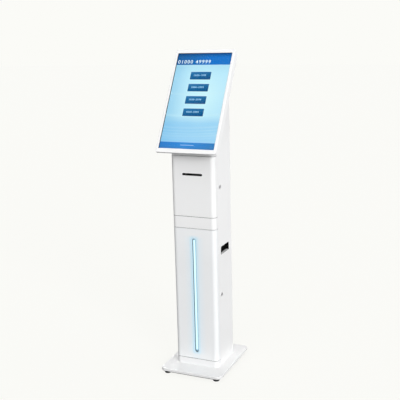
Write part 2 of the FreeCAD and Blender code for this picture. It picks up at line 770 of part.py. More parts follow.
b = body("display_mount_plate")
pt = P("plate_t")
pad(b, "XY", -D - pt, pt, poly([
    (-84.0, 66.0), (84.0, 66.0), (92.0, 85.0), (92.0, 143.0), (HW - skin, 143.0),
    (HW - skin, 438.0), (-HW + skin, 438.0), (-HW + skin, 143.0), (-92.0, 143.0), (-92.0, 85.0)]))
for s in (-1, 1):
    x0, x1 = (-HW + skin, -HW + skin + 3.0) if s < 0 else (HW - skin - 3.0, HW - skin)
    pad(b, "XY", -D - pt - 20.0, 20.0, rect(x0, 170.0, x1, 410.0))
pocket(b, "XY", -D - pt, pt, *[circ(x, y, 3.1) for x, y in vesa])
pocket(b, "XY", -D - pt, pt, rrect(-30.0, 120.0, 30.0, 160.0, 6.0))
tilted(b)

b = body("display_bolts")
pad(b, "XY", -D - pt - 4.0, 4.0, *[hexa(x, y, 10.0) for x, y in vesa])
pad(b, "XY", -D - pt, pt + skin + 5.0, *[circ(x, y, 3.0) for x, y in vesa])
pad(b, "XY", -D + skin, 3.5, *[hexa(x, y, 10.0) for x, y in vesa])
tilted(b)

# ================= printer =================
SZ = P("shelf_z")
b = body("printer_shelf")
pad(b, "XY", SZ, 2.0, rect(-HW + skin, -58.0, HW - skin, 94.0))
for s in (-1, 1):
    x0, x1 = (-HW + skin, -HW + skin + 2.0) if s < 0 else (HW - skin - 2.0, HW - skin)
    pad(b, "XY", SZ, 20.0, rect(x0, -58.0, x1, 94.0))

CX = 60.0
b = body("printer_chassis")
cz = SZ + 2.0
pad(b, "XY", cz, 2.0, rect(-CX, -57.0, CX, 92.0))
for s in (-1, 1):
    x0 = -CX if s < 0 else CX - 2.0
    pad(b, "YZ", x0, 2.0, poly([
        (-57.0, cz), (92.0, cz), (92.0, 880.0), (40.0, 985.0), (-94.0, 985.0), (-94.0, 925.0), (-57.0, 890.0)]))
pz, pyy = P("platen_z"), P("platen_y")
gm = P("pin_gear")
gear_n, pinion_n = 40, 16
cd = gm * (gear_n + pinion_n) / 2
mot_y = pyy + cd * math.cos(math.radians(45))
mot_z = pz - cd * math.sin(math.radians(45))
pocket(b, "YZ", -CX, 2 * CX, circ(pyy, pz, 2.55), circ(P("roll_y"), P("roll_z"), 5.95), circ(22.0, 978.0, 2.0))
pocket(b, "YZ", CX - 2.0, 2.0, circ(mot_y, mot_z, 3.0))

b = body("platen_roller")
pad(b, "YZ", -CX - 2.0, 2 * CX + 8.0, circ(0, 0, 2.5))
pad(b, "YZ", -41.0, 82.0, circ(0, 0, P("platen_rad")))
place(b, 0, pyy, pz)


def gear_face(n, module, width, bore, phase):
    """Spur gear about the X axis, 20 degree involute flanks with backlash."""
    rp = n * module / 2
    rb = rp * math.cos(math.radians(20))
    ra, rf = rp + 0.9 * module, rp - 1.25 * module
    inv = lambda a: math.tan(a) - a
    half = math.pi / (2 * n) - 0.12 / (2 * rp)
    pts = []
    for k in range(n):
        c = phase + 2 * math.pi * k / n
        flank = []
        r_lo = max(rb, rf)
        for j in range(5):
            r = r_lo + (ra - r_lo) * j / 4
            flank.append((r, half + inv(math.radians(20)) - inv(math.acos(min(1.0, rb / r)))))
        root = [(rf, flank[0][1])] if rf < r_lo - 1e-6 else []
        for r, t in root + flank:
            pts.append((r, c - t))
        for r, t in reversed(root + flank):
            pts.append((r, c + t))
    v = [Vector(0, r * math.cos(a), r * math.sin(a)) for r, a in pts]
    wire = Part.makePolygon(v + [v[0]])
    solid = Part.Face(wire).extrude(Vector(width, 0, 0))
    return solid.cut(Part.makeCylinder(bore, width + 2, Vector(-1, 0, 0), Vector(1, 0, 0)))


g = doc.addObject("Part::Feature", "platen_gear")
g.Label = "platen_gear"
g.Shape = gear_face(gear_n, VAL["pin_gear"], 5.0, 2.5, math.radians(-45))
g.Placement = Placement(Vector(CX + 0.6, pyy.v, pz.v), Rotation())
BODIES.append(g)
shaft = Part.makeCylinder(1.5, 23.0, Vector(-17.0, 0, 0), Vector(1, 0, 0))
g = doc.addObject("Part::Feature", "motor_pinion")
g.Label = "motor_pinion"
g.Shape = gear_face(pinion_n, VAL["pin_gear"], 5.0, 1.0, math.radians(135 + 180.0 / pinion_n)).fuse(shaft).removeSplitter()
g.Placement = Placement(Vector(CX + 0.6, mot_y.v, mot_z.v), Rotation())
BODIES.append(g)

b = body("feed_motor")
pad(b, "YZ", 36.0, CX - 2.0 - 36.0, circ(0, 0, 12.0))
pad(b, "YZ", CX - 2.0, 2.0, circ(0, 0, 3.0))
pocket(b, "YZ", 40.0, 25.0, circ(0, 0, 1.56))
place(b, 0, mot_y, mot_z)

b = body("print_head")
pad(b, "YZ", -CX + 2.0, 2 * CX - 4.0, poly([
    (-79.0, 961.5), (-74.0, 959.4), (-68.0, 959.4), (-62.0, 961.5), (-62.0, 971.0), (-79.0, 971.0)]))

b = body("exit_guide")
pad(b, "YZ", -CX + 2.0, 2 * CX - 4.0, poly([
    (-94.5, 943.0), (-84.0, 943.0), (-84.0, 974.0), (-90.0, 974.0), (-94.5, 970.0)]))
pocket(b, "XZ", -95.0, 12.0, rrect(-43.5, leaves - 2.2, 43.5, leaves + 2.2, 0.5))
pocket(b, "XY", 942.0, 25.0, rect(-50.3, -90.1, 50.3, -88.3))

b = body("cutter_blade")
pad(b, "XZ", -90.0, 1.6, poly([(-50.0, 938.0), (50.0, 938.0), (50.0, 956.2), (0.0, 953.0), (-50.0, 956.2)]))

b = body("printer_lid")
LX = CX - 3.0
pad(b, "XY", 974.0, 10.0, rect(-LX, -60.0, LX, 27.0))
fillet(b, 2.0, lambda e, bb: near(bb.ZMin, 984.0) and near(bb.ZMax, 984.0))
pocket(b, "XY", 974.0, 8.2, rect(-LX + 2.0, -58.0, LX - 2.0, 25.0))
pad(b, "YZ", -CX - 1.5, CX + 1.5 - LX + 1.0, circ(22.0, 978.0, 1.95))
pad(b, "YZ", LX - 1.0, CX + 1.5 - LX + 1.0, circ(22.0, 978.0, 1.95))
pocket(b, "XY", 981.0, 5.0, circ(40.0, -44.0, 5.08))

b = body("feed_button")
pad(b, "XY", 979.4, 2.2, circ(40.0, -44.0, 6.6))
pad(b, "XY", 979.4, 7.0, circ(40.0, -44.0, 5.0))
fillet(b, 0.8, lambda e, bb: near(bb.ZMin, 986.4) and near(bb.ZMax, 986.4))

b = body("roll_spindle")
pad(b, "YZ", -CX - 2.0, 2 * CX + 4.0, circ(0, 0, 5.95))
place(b, 0, P("roll_y"), P("roll_z"))

b = body("paper_roll")
pad(b, "YZ", -P("roll_w") / 2, P("roll_w"), circ(0, 0, P("roll_rad")))
pocket(b, "YZ", -P("roll_w") / 2, P("roll_w"), circ(0, 0, 6.0))
place(b, 0, P("roll_y"), P("roll_z"))

# ================= electrics =================
b = body("controller_box")
pad(b, "YZ", -HW + skin, 38.0, rrect(-40.0, 400.0, 88.0, 545.0, 3.0))
f = pocket(b, "YZ", -HW + skin + 33.0, 5.0, rect(-34.0, 408.0, -29.0, 537.0))
row_of(b, f, "Y", 10.0, 12)

b = body("power_supply")
pad(b, "XY", FZ, 42.0, rrect(-48.0, -30.0, 48.0, 66.0, 2.0))
f = pocket(b, "XY", FZ + 40.0, 2.0, rrect(-38.0, -20.0, -33.0, 56.0, 2.45))
row_of(b, f, "X", 12.0, 7)

b = body("fan_frame")
fy = ry - 25.0
pad(b, "XZ", fy, 25.0, rrect(-40.0, -40.0, 40.0, 40.0, 4.0))
pocket(b, "XZ", fy, 22.0, circ(0, 0, 38.0))
for a in (0, 90, 180, 270):
    pocket(b, "XZ", fy + 22.0, 3.0, poly([
        (r * math.cos(math.radians(a + t)), r * math.sin(math.radians(a + t)))
        for r, t in ((15.0, 8), (37.0, 4), (37.6, 25), (37.6, 45), (37.6, 65), (37.0, 86), (15.0, 82), (15.4, 45))]))
pad(b, "XZ", fy + 10.0, 13.0, circ(0, 0, 2.5))
place(b, 0, 0, P("fan_z"))

b = body("fan_rotor")
pad(b, "XZ", fy + 2.0, 18.0, circ(0, 0, 16.0))
blade = pad(b, "YZ", 14.0, 21.5, poly([(fy + 3.0, -7.0), (fy + 4.6, -7.0), (fy + 19.0, 7.0), (fy + 17.4, 7.0)]))
pp = b.newObject("PartDesign::PolarPattern", "blades")
pp.Originals = [blade]
pp.Axis = (role(b, "Y_Axis"), [""])
pp.Angle = 360.0
pp.Occurrences = 7
b.Tip = pp
update(pp, b)
pocket(b, "XZ", fy + 9.5, 12.0, circ(0, 0, 2.6))
place(b, 0, 0, P("fan_z"))

b = body("power_inlet")
ix, iz = P("inlet_x"), P("inlet_z")
oyf = YB - skin
pad(b, "XZ", oyf, 2.4, rrect(ix - 27.0, iz - 16.0, ix + 27.0, iz + 16.0, 3.0))
pad(b, "XZ", oyf - 24.0, 24.0, rect(ix - 23.9, iz - 12.9, ix + 23.9, iz + 12.9))
pocket(b, "XZ", oyf - 13.6, 17.0, poly([
    (ix - 20.5, iz - 9.0), (ix + 7.5, iz - 9.0), (ix + 7.5, iz + 5.5), (ix + 4.0, iz + 9.0), (ix - 17.0, iz + 9.0), (ix - 20.5, iz + 5.5)]))
pad(b, "XZ", oyf - 14.0, 11.0, rect(ix - 7.5, iz + 1.0, ix - 5.5, iz + 5.0), rect(ix - 14.5, iz - 4.0, ix - 12.5, iz),
    rect(ix - 0.5, iz - 4.0, ix + 1.5, iz))
pocket(b, "XZ", oyf - 9.6, 13.0, rect(ix + 11.0, iz - 9.0, ix + 21.0, iz + 9.0))

b = body("power_rocker")
rk = []
for k in range(13):
    a = math.radians(180.0 + 12.0 + 180.0 * k / 12.0 - 90.0)
    rk.append((8.6 * math.cos(a), 8.6 * math.sin(a)))
tips = [(3.6 * math.cos(math.radians(12.0)), 3.6 * math.sin(math.radians(12.0)))]
pad(b, "YZ", ix + 11.4, 9.2, poly(rk + tips))
place(b, 0, oyf + 0.6, iz)

# ================= checks and files =================
doc.recompute()
for o in doc.Objects:
    if "Invalid" in o.State or "Error" in o.State:
        raise RuntimeError("failed object: %s %s" % (o.Name, o.State))
os.makedirs("parts", exist_ok=True)
labels = [o.Label for o in BODIES]
assert len(set(labels)) == len(labels) and len(labels) <= 60, len(labels)
for o in BODIES:
    s = o.Shape
    if s.isNull() or not s.isValid() or not s.Solids:
        raise RuntimeError("bad shape: " + o.Label)
for o in BODIES:
    o.Shape.exportStep("parts/%s.step" % o.Label)
    print("%-22s solids %2d  volume %.1f" % (o.Label, len(o.Shape.Solids), o.Shape.Volume))
print(len(BODIES), "nodes")
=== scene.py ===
import math

import bmesh
import bpy
from mathutils import Matrix, Vector


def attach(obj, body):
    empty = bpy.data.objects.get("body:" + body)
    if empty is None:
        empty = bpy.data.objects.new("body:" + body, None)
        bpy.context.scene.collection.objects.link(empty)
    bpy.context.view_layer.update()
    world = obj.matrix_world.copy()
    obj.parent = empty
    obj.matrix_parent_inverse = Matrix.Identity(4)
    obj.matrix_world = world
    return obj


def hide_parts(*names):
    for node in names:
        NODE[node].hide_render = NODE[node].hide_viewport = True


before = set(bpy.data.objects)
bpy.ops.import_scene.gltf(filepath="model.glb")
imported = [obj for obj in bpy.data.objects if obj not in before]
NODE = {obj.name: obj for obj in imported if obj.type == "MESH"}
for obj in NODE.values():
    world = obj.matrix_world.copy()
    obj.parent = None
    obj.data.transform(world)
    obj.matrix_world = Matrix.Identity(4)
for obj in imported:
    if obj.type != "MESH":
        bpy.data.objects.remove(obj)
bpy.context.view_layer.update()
scene = bpy.context.scene

# ------------------------------------------------------------------ camera
YAW, PITCH, ROLL = math.radians(23.94), math.radians(12.83), math.radians(-1.47)
fw = Vector((-math.sin(YAW) * math.cos(PITCH), math.cos(YAW) * math.cos(PITCH), -math.sin(PITCH)))
rt = Vector((math.cos(YAW), math.sin(YAW), 0.0))
up = rt.cross(fw)
rt2 = rt * math.cos(ROLL) + up * math.sin(ROLL)
up2 = up * math.cos(ROLL) - rt * math.sin(ROLL)
cam_data = bpy.data.cameras.new("camera")
cam = bpy.data.objects.new("camera", cam_data)
scene.collection.objects.link(cam)
m = Matrix.Identity(4)
for i in range(3):
    m[i][0], m[i][1], m[i][2] = rt2[i], up2[i], -fw[i]
    m[i][3] = (1.3764, -3.1204, 1.5977)[i]
cam.matrix_world = m
cam_data.sensor_width = 36.0
cam_data.lens = 743.42 * 36.0 / 400.0
cam_data.clip_start, cam_data.clip_end = 0.05, 200.0
scene.camera = cam
scene.view_settings.view_transform = "Standard"
scene.view_settings.look = "None"

# ------------------------------------------------------------------ node helpers


class Tree:
    """A material's node tree, with short calls for the nodes used here."""

    def __init__(self, name):
        self.mat = bpy.data.materials.new(name)
        self.mat.use_nodes = True
        self.nt = self.mat.node_tree
        self.nt.nodes.clear()
        self.out = self.nt.nodes.new("ShaderNodeOutputMaterial")
        self.bsdf = self.nt.nodes.new("ShaderNodeBsdfPrincipled")
        self.nt.links.new(self.bsdf.outputs[0], self.out.inputs["Surface"])
        self.pos = self.nt.nodes.new("ShaderNodeTexCoord").outputs["Object"]

    def node(self, kind, **props):
        n = self.nt.nodes.new(kind)
        for k, v in props.items():
            setattr(n, k, v)
        return n

    def put(self, socket, value):
        if isinstance(value, bpy.types.NodeSocket):
            self.nt.links.new(value, socket)
        elif value is not None:
            if isinstance(value, (tuple, list)) and len(value) == 3 and socket.type == "RGBA":
                value = (*value, 1.0)
            socket.default_value = value

    def set(self, **inputs):
        for k, v in inputs.items():
            self.put(self.bsdf.inputs[k.replace("_", " ")], v)
        return self

    def math(self, op, a, b=None, c=None, clamp=False):
        n = self.node("ShaderNodeMath", operation=op, use_clamp=clamp)
        for i, v in enumerate((a, b, c)):
            if v is not None:
                self.put(n.inputs[i], v)
        return n.outputs[0]

    def vmath(self, op, a, b=None, out=0):
        n = self.node("ShaderNodeVectorMath", operation=op)
        self.put(n.inputs[0], a)
        if b is not None:
            self.put(n.inputs[1], b)
        return n.outputs[out]

    def dot(self, a, b):
        return self.vmath("DOT_PRODUCT", a, b, "Value")

    def scale(self, vec, s):
        n = self.node("ShaderNodeMapping")
        self.put(n.inputs["Vector"], vec)
        n.inputs["Scale"].default_value = s
        return n.outputs[0]

    def turn(self, vec, rot, s=(1, 1, 1), loc=(0, 0, 0)):
        n = self.node("ShaderNodeMapping")
        self.put(n.inputs["Vector"], vec)
        n.inputs["Rotation"].default_value = rot
        n.inputs["Scale"].default_value = s
        n.inputs["Location"].default_value = loc
        return n.outputs[0]

    def noise(self, scale, detail=3.0, rough=0.5, vec=None, distort=0.0):
        n = self.node("ShaderNodeTexNoise")
        self.put(n.inputs["Vector"], self.pos if vec is None else vec)
        n.inputs["Scale"].default_value = scale
        n.inputs["Detail"].default_value = detail
        n.inputs["Roughness"].default_value = rough
        n.inputs["Distortion"].default_value = distort
        return n.outputs["Fac"]

    def cells(self, scale, vec=None, out="Distance", feature="F1", random=1.0):
        n = self.node("ShaderNodeTexVoronoi", feature=feature)
        self.put(n.inputs["Vector"], self.pos if vec is None else vec)
        n.inputs["Scale"].default_value = scale
        n.inputs["Randomness"].default_value = random
        return n.outputs[out]

    def ramp(self, fac, stops, mode="LINEAR"):
        n = self.node("ShaderNodeValToRGB")
        self.put(n.inputs[0], fac)
        r = n.color_ramp
        r.interpolation = mode
        while len(r.elements) < len(stops):
            r.elements.new(0.5)
        for e, (p, c) in zip(r.elements, stops):
            e.position = p
            e.color = (*c, 1.0) if len(c) == 3 else c
        return n.outputs["Color"]

    def span(self, v, a, b, lo=0.0, hi=1.0, smooth=False):
        n = self.node("ShaderNodeMapRange", interpolation_type="SMOOTHSTEP" if smooth else "LINEAR")
        self.put(n.inputs[0], v)
        for i, x in enumerate((a, b, lo, hi)):
            n.inputs[i + 1].default_value = x
        return n.outputs[0]

    def mix(self, fac, a, b, blend="MIX"):
        n = self.node("ShaderNodeMix", data_type="RGBA", blend_type=blend)
        self.put(n.inputs["Factor"], fac)
        self.put(n.inputs[6], a)
        self.put(n.inputs[7], b)
        return n.outputs[2]

    def blend(self, fac, a, b):
        n = self.node("ShaderNodeMix", data_type="FLOAT")
        self.put(n.inputs["Factor"], fac)
        self.put(n.inputs[2], a)
        self.put(n.inputs[3], b)
        return n.outputs[0]

    def xyz(self, vec=None):
        n = self.node("ShaderNodeSeparateXYZ")
        self.put(n.inputs[0], self.pos if vec is None else vec)
        return n.outputs

    def bump(self, height, strength=0.2, distance=0.0002, after=None):
        n = self.node("ShaderNodeBump")
        n.inputs["Strength"].default_value = strength
        n.inputs["Distance"].default_value = distance
        self.put(n.inputs["Height"], height)
        if after is not None:
            self.put(n.inputs["Normal"], after)
        return n.outputs[0]


def lin(r, g, b):
    """Linear colour of an sRGB colour in 0 to 255."""
    def f(c):
        c /= 255.0
        return c / 12.92 if c <= 0.04045 else ((c + 0.055) / 1.055) ** 2.4
    return (f(r), f(g), f(b))


# ------------------------------------------------------------------ materials


def powder_coat(name, base=(0.885, 0.888, 0.890), fine=1.0, painted_bar_glow=False, shaded_neck=False):
    """Fine-textured white powder coat over sheet steel, with painted shade that darkens it towards the floor."""
    t = Tree(name)
    x, y, z = t.xyz()
    cloud = t.noise(2.3, 3.0, 0.5)
    speck = t.noise(2600.0, 1.0, 0.5)
    b = Vector(base)
    c = t.ramp(t.blend(0.25, cloud, speck), [(0.30, tuple(b * 0.972)), (0.50, tuple(b)), (0.72, tuple(b * 1.018))])
    soil = t.noise(46.0, 6.0, 0.72)
    c = t.mix(t.span(soil, 0.58, 0.80, 0.0, 0.035), c, (0.60, 0.58, 0.55))
    # painted shade: darker below 0.64 m, most on the base's edge and top, on the plinth and at the foot of the doors
    painted_height_shade = t.ramp(z, [(0.0262, (0.865,) * 3), (0.0276, (0.960,) * 3), (0.0284, (0.960,) * 3), (0.0310, (0.930,) * 3), (0.10, (0.930,) * 3),
                      (0.25, (0.960,) * 3), (0.54, (0.965,) * 3), (0.64, (1.0,) * 3)])
    # painted shade: the side panels darken upwards beside the display, down to 0.94 at 1.22 m
    neck_painted_shade = t.span(z, 1.05, 1.22, 1.0, 0.94)
    c = t.mix(1.0, c, painted_height_shade, "MULTIPLY")
    if shaded_neck:
        c = t.mix(1.0, c, t.mix(neck_painted_shade, (0, 0, 0), (1, 1, 1)), "MULTIPLY")
    if painted_bar_glow:  # painted light: the blue glow of the lit bar, painted into the paint beside its slot
        ax = t.math("ABSOLUTE", t.math("ADD", x, 0.0012))
        side = t.span(ax, 0.009, 0.058, 1.0, 0.0, smooth=True)
        glow_near = t.span(ax, 0.009, 0.027, 1.0, 0.0, smooth=True)
        ends = t.math("MULTIPLY", t.span(z, 0.078, 0.100, 0.15, 1.0, smooth=True), t.span(z, 0.655, 0.678, 1.0, 0.0, smooth=True))
        ends = t.math("MULTIPLY", ends, t.span(y, -0.1004, -0.1000, 1.0, 0.0))  # the front face only
        c = t.mix(t.math("MULTIPLY", side, t.math("MULTIPLY", ends, 0.34)), c, (0.62, 0.86, 1.0))
        c = t.mix(t.math("MULTIPLY", glow_near, t.math("MULTIPLY", ends, 0.52)), c, (0.44, 0.78, 0.98))
    peel = t.noise(900.0, 2.0, 0.5)
    grit = t.cells(1900.0, feature="SMOOTH_F1")
    n1 = t.bump(peel, 0.10 * fine, 0.0003)
    n2 = t.bump(grit, 0.07 * fine, 0.0002, after=n1)
    t.set(Base_Color=c, Roughness=t.span(t.noise(130.0, 4.0, 0.6), 0.3, 0.7, 0.36, 0.47), Normal=n2)
    t.set(**{"Specular IOR Level": 0.5})
    return t.mat


def zinc_sheet(name, base=(0.62, 0.63, 0.64), rough=0.38):
    """Zinc-plated sheet: faint spangle, rolling marks and handling haze."""
    t = Tree(name)
    b = Vector(base)
    spangle = t.cells(85.0, out="Color")
    grey = t.node("ShaderNodeRGBToBW")
    t.put(grey.inputs[0], spangle)
    rolled = t.noise(420.0, 4.0, 0.6, vec=t.scale(t.pos, (1.0, 1.0, 0.03)))
    haze = t.noise(17.0, 5.0, 0.62)
    f = t.blend(0.35, t.blend(0.45, grey.outputs[0], rolled), haze)
    c = t.ramp(f, [(0.22, tuple(b * 0.78)), (0.5, tuple(b)), (0.8, tuple(b * 1.16))])
    t.set(Base_Color=c, Metallic=1.0, Roughness=t.span(haze, 0.3, 0.7, rough - 0.08, rough + 0.14),
          Normal=t.bump(rolled, 0.12, 0.0001, after=t.bump(grey.outputs[0], 0.05, 0.0001)))
    return t.mat


def mill_plate(name):
    """Hot-rolled plate, blackened: scale patches and fine pitting."""
    t = Tree(name)
    patch = t.noise(28.0, 7.0, 0.68, distort=0.6)
    pits = t.cells(620.0)
    c = t.ramp(patch, [(0.32, (0.030, 0.030, 0.033)), (0.55, (0.075, 0.074, 0.078)), (0.75, (0.14, 0.12, 0.105))])
    t.set(Base_Color=c, Metallic=0.75, Roughness=t.span(patch, 0.3, 0.75, 0.46, 0.72),
          Normal=t.bump(pits, 0.25, 0.0002, after=t.bump(patch, 0.15, 0.0006)))
    return t.mat


def turned_steel(name, base=(0.68, 0.68, 0.69), axis="x", rough=0.26):
    """Bright turned or drawn steel with fine rings."""
    t = Tree(name)
    b = Vector(base)
    squeeze = {"x": (1, 0.02, 0.02), "y": (0.02, 1, 0.02), "z": (0.02, 0.02, 1)}[axis]
    rings = t.noise(2400.0, 3.0, 0.6, vec=t.scale(t.pos, squeeze))
    smear = t.noise(60.0, 4.0, 0.6)
    c = t.ramp(t.blend(0.4, rings, smear), [(0.3, tuple(b * 0.82)), (0.55, tuple(b)), (0.75, tuple(b * 1.12))])
    t.set(Base_Color=c, Metallic=1.0, Roughness=t.span(smear, 0.3, 0.7, rough - 0.06, rough + 0.12), Normal=t.bump(rings, 0.14, 0.0001))
    return t.mat


def rubber(name, base=(0.026, 0.026, 0.028), rough=0.74):
    t = Tree(name)
    b = Vector(base)
    bloom = t.noise(70.0, 5.0, 0.65)
    grain = t.noise(1700.0, 2.0, 0.6)
    c = t.ramp(bloom, [(0.32, tuple(b * 0.7)), (0.55, tuple(b)), (0.8, tuple(b * 2.2))])
    t.set(Base_Color=c, Roughness=t.span(bloom, 0.3, 0.75, rough - 0.08, rough + 0.12),
          Normal=t.bump(grain, 0.22, 0.0002, after=t.bump(bloom, 0.05, 0.0004)))
    return t.mat


def moulded(name, base=(0.024, 0.024, 0.026), rough=0.46, grain=0.30, size=1100.0):
    """Injection-moulded plastic with a spark-eroded grain."""
    t = Tree(name)
    b = Vector(base)
    spark = t.cells(size, feature="SMOOTH_F1")
    flow = t.noise(21.0, 4.0, 0.6)
    c = t.ramp(t.blend(0.35, flow, spark), [(0.25, tuple(b * 0.72)), (0.5, tuple(b)), (0.8, tuple(b * 1.35))])
    t.set(Base_Color=c, Roughness=t.span(t.blend(0.5, flow, spark), 0.2, 0.8, rough - 0.08, rough + 0.10),
          Normal=t.bump(spark, grain, 0.0002))
    return t.mat


def anodised(name, base=(0.72, 0.73, 0.75)):
    t = Tree(name)
    b = Vector(base)
    draw = t.noise(950.0, 4.0, 0.6, vec=t.scale(t.pos, (1.0, 1.0, 0.015)))
    cloud = t.noise(14.0, 3.0, 0.5)
    c = t.ramp(t.blend(0.4, draw, cloud), [(0.3, tuple(b * 0.88)), (0.55, tuple(b)), (0.8, tuple(b * 1.07))])
    t.set(Base_Color=c, Metallic=1.0, Roughness=t.span(draw, 0.3, 0.7, 0.30, 0.46), Normal=t.bump(draw, 0.10, 0.0001))
    return t.mat


def board(name):
    """Circuit board with a white solder mask, faint tracks and pads."""
    t = Tree(name)
    x, y, z = t.xyz()
    track = t.node("ShaderNodeTexBrick")
    t.put(track.inputs["Vector"], t.turn(t.pos, (math.radians(90), 0, 0)))
    track.inputs["Scale"].default_value = 60.0
    track.inputs["Mortar Size"].default_value = 0.012
    track.inputs["Color1"].default_value = (0.80, 0.81, 0.79, 1)
    track.inputs["Color2"].default_value = (0.84, 0.85, 0.83, 1)
    track.inputs["Mortar"].default_value = (0.66, 0.69, 0.66, 1)
    mask = t.noise(240.0, 3.0, 0.55)
    c = t.mix(t.span(mask, 0.35, 0.75, 0.0, 0.12), track.outputs["Color"], (0.62, 0.66, 0.62))
    t.set(Base_Color=c, Roughness=t.span(mask, 0.3, 0.7, 0.30, 0.45), Normal=t.bump(track.outputs["Fac"], 0.25, 0.0001))
    return t.mat


def plated(name, base=(0.75, 0.75, 0.76), rough=0.14):
    t = Tree(name)
    b = Vector(base)
    haze = t.noise(190.0, 5.0, 0.65)
    rub = t.noise(1500.0, 2.0, 0.5, vec=t.scale(t.pos, (0.08, 1, 1)))
    c = t.ramp(haze, [(0.3, tuple(b * 0.86)), (0.55, tuple(b)), (0.8, tuple(b * 1.08))])
    t.set(Base_Color=c, Metallic=1.0, Roughness=t.span(haze, 0.3, 0.75, rough - 0.04, rough + 0.12), Normal=t.bump(rub, 0.06, 0.0001))
    return t.mat


def nylon(name):
    t = Tree(name)
    milky = t.noise(38.0, 4.0, 0.55)
    c = t.ramp(milky, [(0.3, (0.76, 0.74, 0.67)), (0.55, (0.85, 0.84, 0.78)), (0.8, (0.90, 0.89, 0.84))])
    t.set(Base_Color=c, Roughness=t.span(milky, 0.3, 0.7, 0.38, 0.52), Normal=t.bump(t.noise(1300.0, 2.0, 0.5), 0.12, 0.0001))
    return t.mat


def paper(name):
    """The roll: its ends show the edges of the wound web."""
    t = Tree(name)
    x, y, z = t.xyz()
    r = t.math("SQRT", t.math("ADD", t.math("POWER", t.math("SUBTRACT", y, 0.030), 2.0), t.math("POWER", t.math("SUBTRACT", z, 0.844), 2.0)))
    wound = t.noise(2300.0, 2.0, 0.6, vec=combine(t, r))
    fibre = t.noise(900.0, 5.0, 0.7)
    f = t.blend(0.45, wound, fibre)
    c = t.ramp(f, [(0.3, (0.80, 0.79, 0.76)), (0.52, (0.90, 0.90, 0.875)), (0.75, (0.95, 0.95, 0.93))])
    t.set(Base_Color=c, Roughness=t.span(fibre, 0.3, 0.7, 0.62, 0.80), Normal=t.bump(f, 0.18, 0.0002))
    return t.mat


def combine(t, v):
    n = t.node("ShaderNodeCombineXYZ")
    t.put(n.inputs[0], v)
    return n.outputs[0]


def lit_diffuser(name):
    """Opal acrylic, brightest over the lamps and bluer towards its rims."""
    t = Tree(name)
    x, y, z = t.xyz()
    ax = t.math("ABSOLUTE", x)
    across = t.ramp(t.span(ax, 0.0, 0.0069), [(0.0, (0.72, 0.94, 0.98)), (0.70, (0.60, 0.86, 0.92)), (0.88, (0.20, 0.36, 0.43)), (1.0, (0.10, 0.20, 0.26))])
    lamps = t.math("ABSOLUTE", t.math("SINE", t.math("MULTIPLY", z, math.pi / 0.0334)))
    ends = t.math("MULTIPLY", t.span(z, 0.0965, 0.1120, 0.10, 1.0, smooth=True), t.span(z, 0.6490, 0.6565, 1.0, 0.35, smooth=True))
    power = t.math("MULTIPLY", ends, t.span(lamps, 0.0, 1.0, 0.985, 1.03))
    glow = t.mix(t.math("SUBTRACT", 1.0, ends), across, (0.10, 0.30, 0.56))
    t.set(Base_Color=(0.12, 0.20, 0.24), Roughness=t.span(t.noise(700.0, 3.0, 0.6), 0.3, 0.7, 0.28, 0.42),
          Normal=t.bump(t.noise(1200.0, 2.0, 0.5), 0.08, 0.0001))
    t.put(t.bsdf.inputs["Emission Color"], t.mix(1.0, glow, t.mix(power, (0, 0, 0), (1, 1, 1)), "MULTIPLY"))
    t.bsdf.inputs["Emission Strength"].default_value = 1.0
    return t.mat


# the display's own axes: u across, v up the slope, w out of the glass
TILT = math.radians(30.9)
DO = Vector((0.0, -0.1648, 1.0888))
DV = Vector((0.0, math.sin(TILT), math.cos(TILT)))
DW = Vector((0.0, -math.cos(TILT), math.sin(TILT)))
PIC_W, PIC_H = 0.2681, 0.476
KEYS = ((0.1968, 0.2788), (0.3247, 0.4045), (0.4535, 0.5345), (0.5832, 0.6622))  # top and bottom of each key


def disp(u, v, w):
    """A point of the display, from millimetres in its own axes, in the shared frame."""
    return Vector((u * 0.001, 0, 0)) + DO + DV * (v * 0.001) + DW * (w * 0.001)


